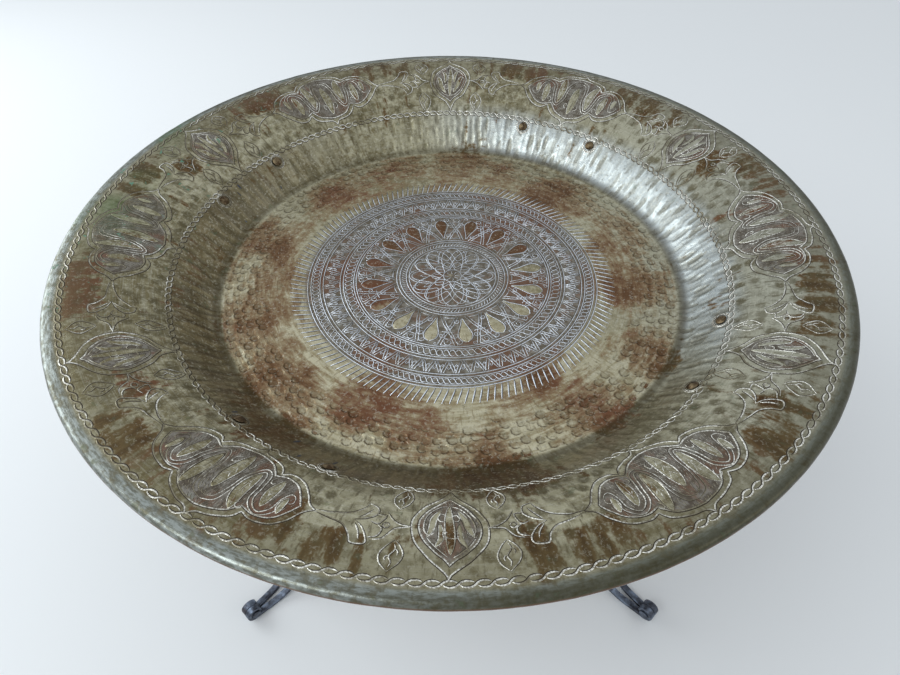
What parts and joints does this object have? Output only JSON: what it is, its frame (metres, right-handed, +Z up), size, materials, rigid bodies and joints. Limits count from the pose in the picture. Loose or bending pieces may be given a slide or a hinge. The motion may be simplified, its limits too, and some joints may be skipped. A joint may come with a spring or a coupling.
{
  "type": "hammered copper tray on stand",
  "caption": "Large round hammered and engraved copper tray with a rolled rim and a shallow well, resting on a forged iron stand with scroll feet.",
  "frame": {"origin": "on the floor under the middle of the tray", "axes": "+Z up, front of the object towards -Y, +X to its right"},
  "size_m": [0.9, 0.9, 0.47],
  "materials": {
    "aged_copper": "hammered copper, worn tinning, brown and olive patina",
    "iron_wire": "plain drawn iron wire",
    "tray_rivet": "domed copper rivets, darkened",
    "forged_iron": "forged, waxed blue-black",
    "iron_rivet": "hammered heads, blue-black"
  },
  "bodies": {
    "stand": {"top_hoop": "forged_iron", "tie_hoop": "forged_iron", "bar_rivets": "iron_rivet", "tie_rivets": "iron_rivet", "foot_pins": "iron_rivet", "front_left_leg_left_bar": "forged_iron", "front_left_leg_right_bar": "forged_iron", "front_right_leg_left_bar": "forged_iron", "front_right_leg_right_bar": "forged_iron", "back_right_leg_left_bar": "forged_iron", "back_right_leg_right_bar": "forged_iron", "back_left_leg_left_bar": "forged_iron", "back_left_leg_right_bar": "forged_iron"},
    "tray": {"tray_sheet": "aged_copper", "rim_wire": "iron_wire", "tray_rivets": "tray_rivet", "front_cleat": "forged_iron", "right_cleat": "forged_iron", "back_cleat": "forged_iron", "left_cleat": "forged_iron"}
  },
  "joints": [
    {"name": "tray_lift", "type": "slide", "parent": "stand", "child": "tray", "axis": [0, 0, 1], "range_m": [0, 0.15]}
  ]
}
